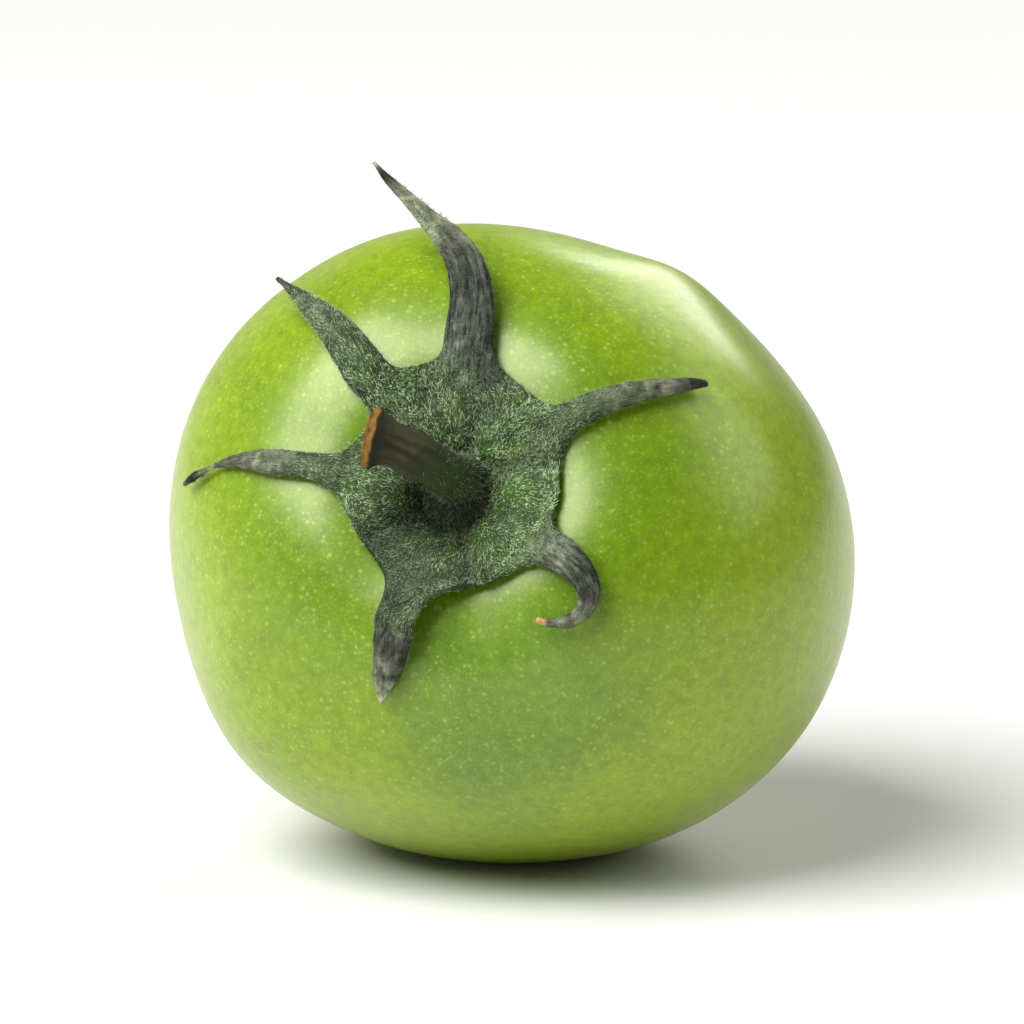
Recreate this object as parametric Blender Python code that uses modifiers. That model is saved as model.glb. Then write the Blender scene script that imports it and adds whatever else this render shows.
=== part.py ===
"""Green cherry tomato lying on its side, with its star-shaped calyx and the stub of its stem.

Run it with blender --background --python part.py, or from Blender's text editor. Units are metres.
Every piece is modelled round the fruit's own axis, from the blossom end (-Z) to the stem end (+Z).
The empty stem_axis then leans that axis over, so that the fruit rests on a small flat spot whose
middle is the world origin.
"""

import math
from typing import NamedTuple

import bmesh
import bpy
import numpy as np
from mathutils import Vector
from mathutils.geometry import interpolate_bezier

MM = 0.001
MERGE_DISTANCE = 0.001 * MM
SLOPE_STEP = 0.001  # radians either side of a point of the skin, to measure its slope

# Fruit
EQUATOR_RADIUS = 15.6 * MM  # mean radius across the stem axis
SHOULDER_HEIGHT = 13.4 * MM  # equator to the stem end, before the stem cavity is sunk
BLOSSOM_HEIGHT = 14.8 * MM  # equator to the blossom end
SHOULDER_FULLNESS = 2.3  # 2 is an ellipse, and more is a squarer shoulder
BLOSSOM_FULLNESS = 2.05
CAVITY_DEPTH = 2.5 * MM
CAVITY_RADIUS = 4.7 * MM
SCAR_DEPTH = 0.3 * MM  # dimple of the dried flower at the blossom end
SCAR_RADIUS = 1.3 * MM
PLEAT_COUNT = 5  # soft folds that run out from the stem cavity over the shoulder
PLEAT_HEIGHT = 0.12 * MM
PLEAT_DIRECTION = 55.0
PLEAT_POLAR = 38.0  # where a fold is highest, in degrees from the stem axis
PLEAT_SPREAD = 20.0
FRUIT_SEGMENTS = 64
FRUIT_RINGS = 32


class Swelling(NamedTuple):
    """One wave in the fruit's outline as seen down the stem axis."""

    count: int
    share: float  # height of the wave as a share of the radius
    direction: float  # degrees


OUTLINE = (
    Swelling(2, 0.044, 167.0),
    Swelling(3, 0.012, 114.0),
    Swelling(4, 0.008, 49.0),
)

# Rest pose
STEM_ELEVATION = 25.0  # of the stem axis over the table, in degrees
STEM_SWING = 13.0  # of the stem axis from -Y towards -X, in degrees
FLAT_SPOT_DEPTH = 0.35 * MM
CUTTER_SIZE = 60.0 * MM

# Calyx
CHART_RADIUS = 14.5 * MM  # turns a distance along the skin into an angle from the stem axis
BLADE_THICKNESS = 0.6 * MM
SKIN_GAP = 0.15 * MM  # between the calyx and the skin
COLLAR_RADIUS = 1.9 * MM  # plain hole that the stem stands in
TIP_WIDTH = 0.5 * MM
NOTCH_REACH = 4.6 * MM  # from the stem axis to the middle of a lobe, level with its notches
SINUS_ROUNDNESS = 0.5  # 0.55 makes the bay between two lobes a quarter circle on each side
BLADE_ARCH = 0.22  # rise of the midrib as a share of the blade's half width
BLADE_COLUMNS = 6
NOTCH_ROW = 5  # rows of a lobe, from the collar to its notches
NECK_ROW = 10  # and on to its neck
TIP_ROW = 20  # and on to its tip


class Sepal(NamedTuple):
    """One pointed lobe of the calyx, anticlockwise as seen from the stem. Angles are in degrees."""

    heading: float  # direction that it leaves the stem in
    length: float  # mm from the stem axis to the tip, along the blade
    neck: float  # mm from the stem axis to where the blade stops narrowing fast
    width: float  # mm across the neck
    taper: float  # 1 narrows evenly to the tip, and less stays strap-shaped for longer
    lift: float  # mm that the tip stands off the skin
    turn: float  # how far the tip swings sideways
    turn_start: float  # share of the length where the swing starts
    turn_end: float  # and where it is complete
    notch_direction: float  # of the notch between this lobe and the next
    notch_radius: float  # mm from the stem axis


SEPALS = (
    Sepal(
        heading=90.0, length=17.2, neck=8.0, width=2.0, taper=0.8, lift=3.4,
        turn=58.0, turn_start=0.48, turn_end=0.77, notch_direction=108.0, notch_radius=6.4,
    ),
    Sepal(
        heading=131.0, length=14.0, neck=7.4, width=2.0, taper=1.0, lift=1.3,
        turn=16.0, turn_start=0.50, turn_end=0.90, notch_direction=150.0, notch_radius=5.2,
    ),
    Sepal(
        heading=174.0, length=14.8, neck=7.6, width=1.1, taper=0.8, lift=0.2,
        turn=22.0, turn_start=0.70, turn_end=0.95, notch_direction=217.0, notch_radius=5.1,
    ),
    Sepal(
        heading=254.0, length=10.6, neck=7.0, width=1.9, taper=0.7, lift=0.3,
        turn=4.0, turn_start=0.50, turn_end=0.90, notch_direction=293.0, notch_radius=5.1,
    ),
    Sepal(
        heading=332.0, length=11.8, neck=6.6, width=1.7, taper=0.9, lift=0.4,
        turn=-160.0, turn_start=0.56, turn_end=1.04, notch_direction=353.0, notch_radius=5.3,
    ),
    Sepal(
        heading=394.0, length=13.0, neck=7.4, width=1.4, taper=0.6, lift=0.4,
        turn=-22.0, turn_start=0.45, turn_end=0.90, notch_direction=413.0, notch_radius=6.0,
    ),
)

# Stem stub
STEM_LENGTH = 6.3 * MM
STEM_BEND = 82.0  # degrees from the stem axis at its broken end
STEM_FIRST_DIRECTION = 120.0  # the way it leans just above the calyx
STEM_LAST_DIRECTION = 176.0  # the way it leans at its broken end
STEM_RADIUS = 1.15 * MM
FOOT_GAP = 0.35 * MM  # between the stem and the bottom of the cavity
FOOT_RADIUS = 1.35 * MM
FOOT_LENGTH = 0.9 * MM
KNUCKLE_RADIUS = 1.35 * MM  # swollen joint where the stem broke from the truss
KNUCKLE_LENGTH = 1.8 * MM
STEM_POINTS = 16
STEM_BEVEL = 4


def clear_scene():
    for old in list(bpy.data.objects):
        bpy.data.objects.remove(old)


def new_collection(name):
    made = bpy.data.collections.new(name)
    bpy.context.scene.collection.children.link(made)
    return made


def plain_material(name, colour, roughness):
    made = bpy.data.materials.new(name)
    made.use_nodes = True
    shader = made.node_tree.nodes["Principled BSDF"]
    shader.inputs["Base Color"].default_value = (*colour, 1.0)
    shader.inputs["Roughness"].default_value = roughness
    shader.inputs["Metallic"].default_value = 0.0
    return made


def smooth_step(value):
    """0 below 0, 1 above 1, and an even S between them."""
    value = min(1.0, max(0.0, value))
    return value * value * (3.0 - 2.0 * value)


def outline_radius(azimuth):
    """Distance of the skin from the stem axis at the equator."""
    waves = sum(w.share * math.cos(w.count * (azimuth - math.radians(w.direction))) for w in OUTLINE)
    return EQUATOR_RADIUS * (1.0 + waves)


def pleat(polar, azimuth):
    """Height of the shoulder's soft folds."""
    across = math.cos(PLEAT_COUNT * (azimuth - math.radians(PLEAT_DIRECTION)))
    along = (math.degrees(polar) - PLEAT_POLAR) / PLEAT_SPREAD
    return PLEAT_HEIGHT * across * math.exp(-along * along)


def skin_point(polar, azimuth):
    """Point of the skin. polar is 0 at the stem end and pi at the blossom end, in radians."""
    stem_side = polar < math.pi / 2.0
    half_height = SHOULDER_HEIGHT if stem_side else BLOSSOM_HEIGHT
    fullness = SHOULDER_FULLNESS if stem_side else BLOSSOM_FULLNESS
    across = abs(math.sin(polar)) / outline_radius(azimuth)
    along = abs(math.cos(polar)) / half_height
    distance = (across**fullness + along**fullness) ** (-1.0 / fullness) + pleat(polar, azimuth)
    radius = distance * math.sin(polar)
    height = distance * math.cos(polar)
    if stem_side:
        height -= CAVITY_DEPTH * math.exp(-((radius / CAVITY_RADIUS) ** 2))
    else:
        height += SCAR_DEPTH * math.exp(-((radius / SCAR_RADIUS) ** 2))
    return Vector((radius * math.cos(azimuth), radius * math.sin(azimuth), height))


def skin_normal(polar, azimuth):
    """Outward normal of the skin, from the slopes either side of a point."""
    down = skin_point(polar + SLOPE_STEP, azimuth) - skin_point(polar - SLOPE_STEP, azimuth)
    round_axis = skin_point(polar, azimuth + SLOPE_STEP) - skin_point(polar, azimuth - SLOPE_STEP)
    return down.cross(round_axis).normalized()


def over_skin(chart, height):
    """Point at a height over the skin. The chart is the stem end unrolled flat, seen from the stem."""
    polar = chart.length / CHART_RADIUS
    azimuth = math.atan2(chart.y, chart.x)
    return skin_point(polar, azimuth) + height * skin_normal(polar, azimuth)


def make_fruit(collection, material):
    sphere = bmesh.new()
    bmesh.ops.create_uvsphere(sphere, u_segments=FRUIT_SEGMENTS, v_segments=FRUIT_RINGS, radius=1.0)
    for vertex in sphere.verts:
        polar = math.acos(max(-1.0, min(1.0, vertex.co.z)))
        azimuth = math.atan2(vertex.co.y, vertex.co.x)
        vertex.co = skin_point(polar, azimuth)
    mesh = bpy.data.meshes.new("fruit")
    sphere.to_mesh(mesh)
    sphere.free()
    mesh.shade_smooth()
    mesh.materials.append(material)
    fruit = bpy.data.objects.new("fruit", mesh)
    collection.objects.link(fruit)
    return fruit


def polar_point(radius, direction):
    angle = math.radians(direction)
    return Vector((radius * math.cos(angle), radius * math.sin(angle)))


def midrib(sepal):
    """Chart points and headings down the middle of a lobe, by its rows from the collar to the tip."""
    point = polar_point(COLLAR_RADIUS, sepal.heading)
    points = [(point.copy(), sepal.heading)]
    distances = np.interp(
        range(TIP_ROW + 1),
        (0, NOTCH_ROW, NECK_ROW, TIP_ROW),
        (COLLAR_RADIUS, NOTCH_REACH, sepal.neck * MM, sepal.length * MM),
    )
    for before, distance in zip(distances, distances[1:]):
        share = distance / (sepal.length * MM)
        swing = smooth_step((share - sepal.turn_start) / (sepal.turn_end - sepal.turn_start))
        heading = sepal.heading + sepal.turn * swing
        point += polar_point(distance - before, heading)
        points.append((point.copy(), heading))
    return points


def edge(sepal, middle, notch, side):
    """Chart points down one edge of a lobe. side is 1 for its left edge, seen with the tip upwards."""
    start = notch.normalized() * COLLAR_RADIUS
    points = [start.lerp(notch, row / NOTCH_ROW) for row in range(NOTCH_ROW)]
    strap = []
    for row in range(NECK_ROW, TIP_ROW + 1):
        left = 1.0 - (row - NECK_ROW) / (TIP_ROW - NECK_ROW)
        half = (TIP_WIDTH + (sepal.width * MM - TIP_WIDTH) * left**sepal.taper) / 2.0
        centre, heading = middle[row]
        strap.append(centre + polar_point(half, heading + 90.0 * side))
    reach = SINUS_ROUNDNESS * (strap[0] - notch).length
    along_notch = Vector((notch.y, -notch.x)).normalized() * side * reach
    along_blade = polar_point(reach, middle[NECK_ROW][1])
    count = NECK_ROW - NOTCH_ROW + 1
    bay = interpolate_bezier(notch, notch + along_notch, strap[0] - along_blade, strap[0], count)
    return points + [point.to_2d() for point in bay[:-1]] + strap


def make_blade(grid, sepal, notch_before, notch_after):
    """Adds one lobe to the calyx as a grid laid over the skin."""
    middle = midrib(sepal)
    left = edge(sepal, middle, notch_after, 1)
    right = edge(sepal, middle, notch_before, -1)
    made = bmesh.ops.create_grid(grid, x_segments=BLADE_COLUMNS, y_segments=TIP_ROW, size=1.0)
    for vertex in made["verts"]:
        across = -vertex.co.x
        row = round((vertex.co.y + 1.0) / 2.0 * TIP_ROW)
        centre = middle[row][0]
        lean = (left[row] - right[row]) / 2.0
        bow = (left[row] + right[row]) / 2.0 - centre
        free = smooth_step(row / NECK_ROW)
        arch = BLADE_ARCH * lean.length * (1.0 - across**2) * free
        lift = sepal.lift * MM * (row / TIP_ROW) ** 3
        vertex.co = over_skin(centre + across * lean + across**2 * bow, SKIN_GAP + arch + lift)


def make_calyx(collection, material):
    grid = bmesh.new()
    notches = [polar_point(s.notch_radius * MM, s.notch_direction) for s in SEPALS]
    for index, sepal in enumerate(SEPALS):
        make_blade(grid, sepal, notches[index - 1], notches[index])
    bmesh.ops.remove_doubles(grid, verts=grid.verts, dist=MERGE_DISTANCE)
    bmesh.ops.triangulate(grid, faces=grid.faces)
    bmesh.ops.recalc_face_normals(grid, faces=grid.faces)
    mesh = bpy.data.meshes.new("calyx")
    grid.to_mesh(mesh)
    grid.free()
    mesh.shade_smooth()
    mesh.materials.append(material)
    calyx = bpy.data.objects.new("calyx", mesh)
    collection.objects.link(calyx)
    shell = calyx.modifiers.new("thickness", "SOLIDIFY")
    shell.thickness = BLADE_THICKNESS
    shell.offset = 1.0
    return calyx


def stem_radius(along):
    """Radius of the stem at a distance from its foot: flared, slender, then a swollen joint."""
    foot = (FOOT_RADIUS - STEM_RADIUS) * math.exp(-((along / FOOT_LENGTH) ** 2))
    knuckle = (KNUCKLE_RADIUS - STEM_RADIUS) * smooth_step(1.0 - (STEM_LENGTH - along) / KNUCKLE_LENGTH)
    return STEM_RADIUS + foot + knuckle


def make_stem(collection, material):
    curve = bpy.data.curves.new("stem", "CURVE")
    curve.dimensions = "3D"
    curve.bevel_depth = 1.0
    curve.bevel_resolution = STEM_BEVEL
    curve.use_fill_caps = True
    spline = curve.splines.new("POLY")
    spline.points.add(STEM_POINTS - 1)
    spline.use_smooth = True
    step = STEM_LENGTH / (STEM_POINTS - 1)
    place = skin_point(0.0, 0.0) + Vector((0.0, 0.0, FOOT_GAP))
    for index, point in enumerate(spline.points):
        along = index * step
        share = along / STEM_LENGTH
        bend = math.radians(STEM_BEND) * share
        direction = STEM_FIRST_DIRECTION * (1.0 - share) + STEM_LAST_DIRECTION * share
        point.co = (*place, 1.0)
        point.radius = stem_radius(along)
        place += step * Vector((*polar_point(math.sin(bend), direction), math.cos(bend)))
    curve.materials.append(material)
    stem = bpy.data.objects.new("stem", curve)
    collection.objects.link(stem)
    return stem


def lean_over(fruit, others):
    """Parents the pieces to an empty that leans the stem axis, with the flat spot's middle at the origin."""
    axis = bpy.data.objects.new("stem_axis", None)
    axis.rotation_euler = (math.radians(90.0 - STEM_ELEVATION), 0.0, math.radians(-STEM_SWING))
    bpy.context.scene.collection.objects.link(axis)
    turned = axis.rotation_euler.to_matrix()
    lowest = min((turned @ vertex.co for vertex in fruit.data.vertices), key=lambda point: point.z)
    axis.location = (-lowest.x, -lowest.y, -lowest.z - FLAT_SPOT_DEPTH)
    for piece in (fruit, *others):
        piece.parent = axis


def cut_flat_spot(fruit, cutters):
    """Cuts off what hangs below the table."""
    bpy.ops.mesh.primitive_cube_add(size=CUTTER_SIZE, location=(0.0, 0.0, -CUTTER_SIZE / 2.0))
    table = bpy.context.object
    table.name = "table_cutter"
    for holder in list(table.users_collection):
        holder.objects.unlink(table)
    cutters.objects.link(table)
    table.hide_render = True
    table.display_type = "WIRE"
    cut = fruit.modifiers.new("flat_spot", "BOOLEAN")
    cut.operation = "DIFFERENCE"
    cut.object = table


def main():
    clear_scene()
    tomato = new_collection("green_cherry_tomato")
    cutters = new_collection("cutters")
    skin = plain_material("green_skin", (0.33, 0.52, 0.07), 0.3)
    leaf = plain_material("grey_green_leaf", (0.10, 0.16, 0.09), 0.8)
    bark = plain_material("olive_stem", (0.09, 0.08, 0.04), 0.7)
    fruit = make_fruit(tomato, skin)
    calyx = make_calyx(tomato, leaf)
    stem = make_stem(tomato, bark)
    lean_over(fruit, (calyx, stem))
    cut_flat_spot(fruit, cutters)


main()
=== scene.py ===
"""Looks of the green cherry tomato, laid out as a Blender add-on and run as a script.

Each piece is modelled round the fruit's stem axis, in metres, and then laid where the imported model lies.
"""

import math
from functools import partial
from typing import NamedTuple

import bpy
import numpy as np
from mathutils import Euler, Matrix, Vector, noise
from mathutils.geometry import interpolate_bezier


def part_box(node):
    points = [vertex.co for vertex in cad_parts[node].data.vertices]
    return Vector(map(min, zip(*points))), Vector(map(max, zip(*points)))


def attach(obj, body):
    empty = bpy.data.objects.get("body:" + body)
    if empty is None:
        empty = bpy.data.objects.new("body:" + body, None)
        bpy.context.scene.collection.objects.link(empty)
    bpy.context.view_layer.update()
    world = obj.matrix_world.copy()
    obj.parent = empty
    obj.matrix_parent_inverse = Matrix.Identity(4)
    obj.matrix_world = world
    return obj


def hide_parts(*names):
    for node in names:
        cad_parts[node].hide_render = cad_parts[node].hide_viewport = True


bl_info = {
    "name": "Green cherry tomato",
    "version": (1, 0, 0),
    "blender": (4, 5, 0),
    "location": "3D View > Sidebar > Tomato",
    "description": "Skin, calyx, stem, hairs and studio for an unripe cherry tomato",
    "category": "Add Mesh",
}

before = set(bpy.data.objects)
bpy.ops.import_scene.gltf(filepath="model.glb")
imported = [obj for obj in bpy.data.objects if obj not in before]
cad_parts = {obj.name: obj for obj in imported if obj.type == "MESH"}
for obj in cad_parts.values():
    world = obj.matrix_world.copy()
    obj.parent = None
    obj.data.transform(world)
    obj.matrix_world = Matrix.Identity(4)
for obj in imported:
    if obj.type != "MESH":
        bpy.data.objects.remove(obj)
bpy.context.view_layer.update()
BODY = "root"

MM = 0.001

# Fruit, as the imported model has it
EQUATOR_RADIUS = 15.6 * MM
SHOULDER_HEIGHT = 13.4 * MM
BLOSSOM_HEIGHT = 14.8 * MM
SHOULDER_FULLNESS = 2.3
BLOSSOM_FULLNESS = 2.05
CAVITY_DEPTH = 2.5 * MM
CAVITY_RADIUS = 4.7 * MM
SCAR_DEPTH = 0.3 * MM
SCAR_RADIUS = 1.3 * MM
PLEAT_COUNT = 5
PLEAT_HEIGHT = 0.12 * MM
PLEAT_DIRECTION = 55
PLEAT_POLAR = 38
PLEAT_SPREAD = 20
SWELLINGS = ((2, 0.044, 167), (3, 0.012, 114), (4, 0.008, 49))  # count, share, direction
CAD_SEGMENTS = 64
CAD_RINGS = 32
SLOPE_STEP = 0.001  # radians

# Rest pose
STEM_ELEVATION = 25
STEM_SWING = 13
FLAT_SPOT_DEPTH = 0.35 * MM
FIT_TOLERANCE = 0.1 * MM  # between this file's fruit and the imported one

# Fine fruit
FRUIT_SEGMENTS = 256
FRUIT_RINGS = 144
KNOBS = (  # azimuth, polar angle, height in mm and spread of its own uneven places, in degrees
    (58, 74, 0.36, 10),
    (76, 68, -0.2, 14),
    (38, 80, -0.2, 12),
    (133, 62, -0.28, 14),
    (199, 68, -0.32, 16),
    (226, 82, 0.38, 18),
    (284, 27, -0.36, 8),
)

DENTS = ((1, 7 * MM, 3.1), (0.35, 2.6 * MM, 8.7))  # share, size and seed of the skin's unevenness
PATCH = (284, 46)  # azimuth and polar angle of the bluish patch in the skin
STREAK_WANDER = (14, 14, 40)  # per metre, how far place and height take a streak off its meridian
FINE_DOTS = 0.6  # spacing of the finer dots, as a share of the other ones'
CROWD_SIZE = 7 * MM  # of the places that have more dots
SKIN_GRAIN = 0.55 * MM

# Blossom scar
CORK_RADIUS = 1 * MM
CORK_SINK = 0.04 * MM  # of its edge into the skin
CORK_SIDES = 64
CORK_RINGS = 18
CORK_EDGE = ((5, 0.16, 0.7), (3, 0.1, 0), (11, 0.06, 0))  # count, share and start of its waves
CORK_LUMPS = ((0.03 * MM, 0.22 * MM, 5.5),)  # height, size and seed
CRUST_HEIGHT = 0.07 * MM
CRUST_GRAIN = 0.25 * MM
CRACK_SPACING = 0.18 * MM
STUB_HEIGHT = 0.42 * MM

# Calyx: rows of a lobe from the collar to its notches, its neck and its tip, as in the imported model
CHART_RADIUS = 14.5 * MM
COLLAR_RADIUS = 1.9 * MM
NOTCH_REACH = 4.6 * MM
SINUS_ROUNDNESS = 0.5
NOTCH_ROW = 5
NECK_ROW = 10
TIP_ROW = 20
SHAPE_ROWS = (NOTCH_ROW, NECK_ROW, 12.5, 15, 17.5, 19, TIP_ROW)  # where curl, twist and rise are given
STRAP_END_WIDTH = 0.5 * MM
FINE_STEPS = 5  # fine rows for each of those rows
BLADE_COLUMNS = 20
THROAT_ROWS = 5  # extra rows that close the collar up to the stem
THROAT_RADIUS = 1.1 * MM
THROAT_RISE = 0.7 * MM
POINT_WIDTH = 0.16 * MM  # across the very tip
POINT_ROWS = 3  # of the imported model's rows, over which a blade comes to its point
BLADE_GAP = 0.12 * MM
LEAST_CURL = 0.02  # radians
SEED_STEP = 11.3  # from one lobe's noise to the next one's
LEAF_GRAIN = 0.22 * MM
COLLAR_FOLDS = (  # direction, height in mm and spread in degrees
    (53, 0.3, 13),
    (76, -0.3, 9),
    (98, 0.2, 11),
    (150, 0.2, 12),
    (190, 0.2, 12),
    (217, -0.2, 12),
    (286, -0.35, 9),
    (312, 0.2, 12),
    (22, -0.2, 9),
    (0, 0.25, 11),
)
FOLD_LIFT = 0.3 * MM
FOLD_START = (1.9, 1.2)  # mm from the stem's axis, and over how many the folds rise
FOLD_END = (3.4, 2)
WRINKLE_SIZE = 0.9 * MM
EDGE_THINNING = 0.62  # shares of a blade's thickness that its edges, outer half and tip lose
OUTER_THINNING = 0.36
TIP_THINNING = 0.45
LEAST_THICKNESS = 0.3
FIBRE_WIDTH = 0.139 * MM  # between two fibres of a blade
FIBRE_RUN = 1.11  # rows between two changes along a fibre
FIBRE_SCALE = 3  # of their noise, which also changes with the share of the blade's width

# Painted light and shade that the calyx and its hairs keep, as shares. BLACK_LOSS, FADED_GAIN and MOTTLES
# are the leaf's own black, paler faded and uneven tone
SHADED_SIDE = -138  # direction in which the painted shade of the leaf reaches furthest from the stem
LIT_SIDE = -30  # direction in which painted light makes the leaf and its hairs brightest
FOOT_LIGHT = 0.22  # painted shade against the stem
FOOT_SHADE = (1.15, 0.65)  # mm from the stem's axis to its border, and further on the shaded side
FOOT_SHADE_WIDTH = (0.9, 1.2)  # mm of that border, and more on the shaded side
FOLD_LIGHT = 1.3  # painted light and shade, change for each mm of a fold's height
# Painted shade on the shaded side, painted light on the lit side, painted shade in a grooved blade's middle
# and along a domed blade's edges
SHADED_LOSS = 0.22
LIT_SIDE_GAIN = 0.35
GROOVE_LOSS = 0.45
RIDGE_LOSS = 0.35
BLACK_LOSS = 0.75
FADED_GAIN = 0.3
MOTTLES = ((0.75, 0.55 * MM, 0), (0.35, 0.25 * MM, 5))  # share, size and what is added to the seed

# Stem
STEM_LENGTH = 6.3 * MM
STEM_BEND = 82
STEM_FIRST_DIRECTION = 120
STEM_LAST_DIRECTION = 176
STEM_RADIUS = 1.15 * MM
FOOT_GAP = 0.35 * MM
FOOT_RADIUS = 1.35 * MM
FOOT_LENGTH = 0.9 * MM
KNUCKLE_RADIUS = 1.35 * MM
KNUCKLE_LENGTH = 1.8 * MM
STEM_POINTS = 16
STEM_FOOT_SHIFT = (0.15, 0.5)  # mm from the stem axis, for this stub leans a little out of its hollow
STEM_SIDES = 72
STEM_STEPS = 6  # fine rings for each of those points
STEM_WAISTS = ((0.09, 0.98, 0.025), (-0.2, 0.84, 0.1), (-0.16, 0.35, 0.3))  # share, place and spread
STEM_RIDGES = ((5, 0.012, 2), (9, 0.006, -3))  # count, share of its radius and radians of turn along it
STEM_LUMPS = ((0.07, 1.1 * MM, 2.2), (0.035, 0.4 * MM, 6.1))  # share of its radius, size and seed
BARK_GRAIN = 0.3 * MM
BARK_STREAK = 0.523 * MM  # between two streaks round the stem
BARK_STREAK_LENGTH = 2.53 * MM
CAP_RINGS = 16
CAP_BULGE = 0.34 * MM
TORN_FROM = 0.93  # of its length
TORN_LIP = ((0.09, 0.5, 1.7),)  # share of its radius, size as a share of the radius, and seed
TORN_EDGE = ((0.16 * MM, 0.6, 12.5), (0.08 * MM, 0.2, 3.5))  # height, size as a share of the radius, seed
TORN_FIBRES = ((0.09 * MM, 0.25 * MM, 9.4), (0.06 * MM, 0.11 * MM, 4.4))  # height, size and seed

# Hairs
HAIR_SEED = 41
HAIR_BEND = 0.24
HAIR_FOOT = 0.92  # of the blade's thickness, where a hair stands in it
HAIR_LEAST_STAND = 0.22  # that a hair points off the blade, so that it doesn't run into it
DRY_HAIR_LENGTH = 0.45  # shares that hairs on withered leaf lose of their length and light
DRY_HAIR_LIGHT = 0.62

# Studio
TABLE_SIZE = 1.2
TABLE_DROP = 0.02 * MM  # so that it doesn't cut into the flat spot
AIM_HEIGHT = 16 * MM
CAMERA_ELEVATION = 13


class Sepal(NamedTuple):
    """One lobe of the calyx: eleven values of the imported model, and then its finer form."""

    heading: float
    length: float  # mm
    neck: float  # mm
    width: float  # mm
    taper: float
    lift: float  # mm
    turn: float
    turn_start: float
    turn_end: float
    notch_direction: float
    notch_radius: float  # mm
    curl: tuple  # radians that the blade bends from midrib to edge, downwards if above 0, at SHAPE_ROWS
    twist: tuple  # radians that the blade turns about its midrib, left edge up if above 0
    rise: tuple  # mm that the blade stands off the skin, besides the lift
    slim: tuple  # the blade's width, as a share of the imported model's
    dry: tuple  # 0 fresh and green, 1 dark and withered, 2 black
    faded: tuple  # 0 to 1 pale and papery
    tip: float  # 0 dark tip, 1 pale, 2 orange
    sway: tuple = (0,) * 7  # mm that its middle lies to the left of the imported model's


SEPALS = (
    Sepal(
        90, 17.2, 8, 2, 0.8, 3.4, 58, 0.48, 0.77, 108, 6.4,
        curl=(0.2, 0.25, -0.7, -0.75, -0.2, 0.9, 1.2),
        twist=(0, 0, 0.1, 0.25, 0.3, 0, 0),
        rise=(0, 0.15, 0.35, 0.5, 0.45, 0.3, 0.3),
        slim=(1, 1.2, 1.15, 1.1, 0.8, 0.65, 0.25),
        dry=(0.1, 1.5, 1.55, 0.6, 0.5, 2.2, 1),
        faded=(0, 0, 0, 0.35, 0.45, 0, 0.4), tip=1,
        sway=(0, -0.12, -0.05, 0, -0.1, -0.2, -0.3),
    ),
    Sepal(
        131, 14, 7.4, 2, 1, 1.3, 16, 0.5, 0.9, 150, 5.2,
        curl=(0.2, 0.4, 0.55, 0.6, 0.8, 1.1, 1.2),
        twist=(0, -0.1, -0.15, -0.1, 0, 0.1, 0.1),
        rise=(0, 0.05, 0.1, 0.1, 0.05, 0, 0),
        slim=(1, 1, 1, 0.95, 0.75, 0.5, 0.35),
        dry=(0, 0.1, 0.25, 0.3, 0.4, 1.2, 1.5),
        faded=(0, 0, 0, 0.1, 0.1, 0.1, 0.1), tip=0.1,
        sway=(0, 0, -0.1, -0.2, -0.3, -0.35, -0.4),
    ),
    Sepal(
        174, 14.8, 7.6, 1.1, 0.8, 0.2, 22, 0.7, 0.95, 217, 5.1,
        curl=(0.2, 0.5, 0.7, 0.9, 0.8, 0.9, 1),
        twist=(0, 0.1, 0.1, 0, -0.2, -0.1, 0),
        rise=(0, 0.05, 0.05, 0, 0, 0, 0),
        slim=(1, 1.1, 1.1, 0.6, 0.1, 0.75, 0.4),
        dry=(0, 0.25, 0.65, 1.4, 0.5, 2.2, 1),
        faded=(0, 0.1, 0.3, 0.1, 0.4, 0, 0.2), tip=0.1,
    ),
    Sepal(
        254, 10.6, 7, 1.9, 0.7, 0.3, 4, 0.5, 0.9, 293, 5.1,
        curl=(0.1, -0.45, 0.1, 0.5, 0.6, 0.6, 0.6),
        twist=(0, 0.1, 0.15, 0.1, -0.1, 0, 0.1),
        rise=(0.1, 0.7, 0.2, 0.15, 0.1, 0.05, 0.1),
        slim=(1, 1.1, 1.2, 1.15, 1.1, 1.2, 1.3),
        dry=(0.2, 0.35, 2, 1.2, 0.9, 0.45, 0.4),
        faded=(0, 0, 0.1, 0.2, 0.35, 0.6, 0.8), tip=0.8,
    ),
    Sepal(
        332, 11.8, 6.6, 1.7, 0.9, 0.4, -160, 0.56, 1.04, 353, 5.3,
        curl=(0.1, 0.7, 1.1, 1.3, 1.3, 1.3, 1.3),
        twist=(0, 0.25, 0.3, 0.1, 0, 0, 0),
        rise=(0, 0.25, 0.3, 0.2, 0.12, 0.1, 0.05),
        slim=(1, 0.95, 0.75, 0.55, 0.55, 0.5, 0.6),
        dry=(0.05, 0.9, 1.5, 1, 0.8, 1.1, 0.5),
        faded=(0, 0.1, 0, 0.15, 0.35, 0.1, 0), tip=2,
    ),
    Sepal(
        394, 13, 7.4, 1.4, 0.6, 0.4, -22, 0.45, 0.9, 413, 6,
        curl=(0.1, 0.5, 0.7, 0.9, 1.1, 1.3, 1.4),
        twist=(0, 0.1, 0.15, 0.1, 0, 0, 0),
        rise=(0, 0.03, 0.05, 0.05, 0.05, 0.05, 0.05),
        slim=(1, 0.95, 0.85, 0.8, 0.8, 0.95, 1.3),
        dry=(0, 0.25, 0.55, 0.7, 1.25, 2.2, 2.2),
        faded=(0, 0.05, 0.15, 0.25, 0.5, 0, 0), tip=0,
        sway=(0, 0.1, 0.2, 0.35, 0.5, 0.62, 0.62),
    ),
)


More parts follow.
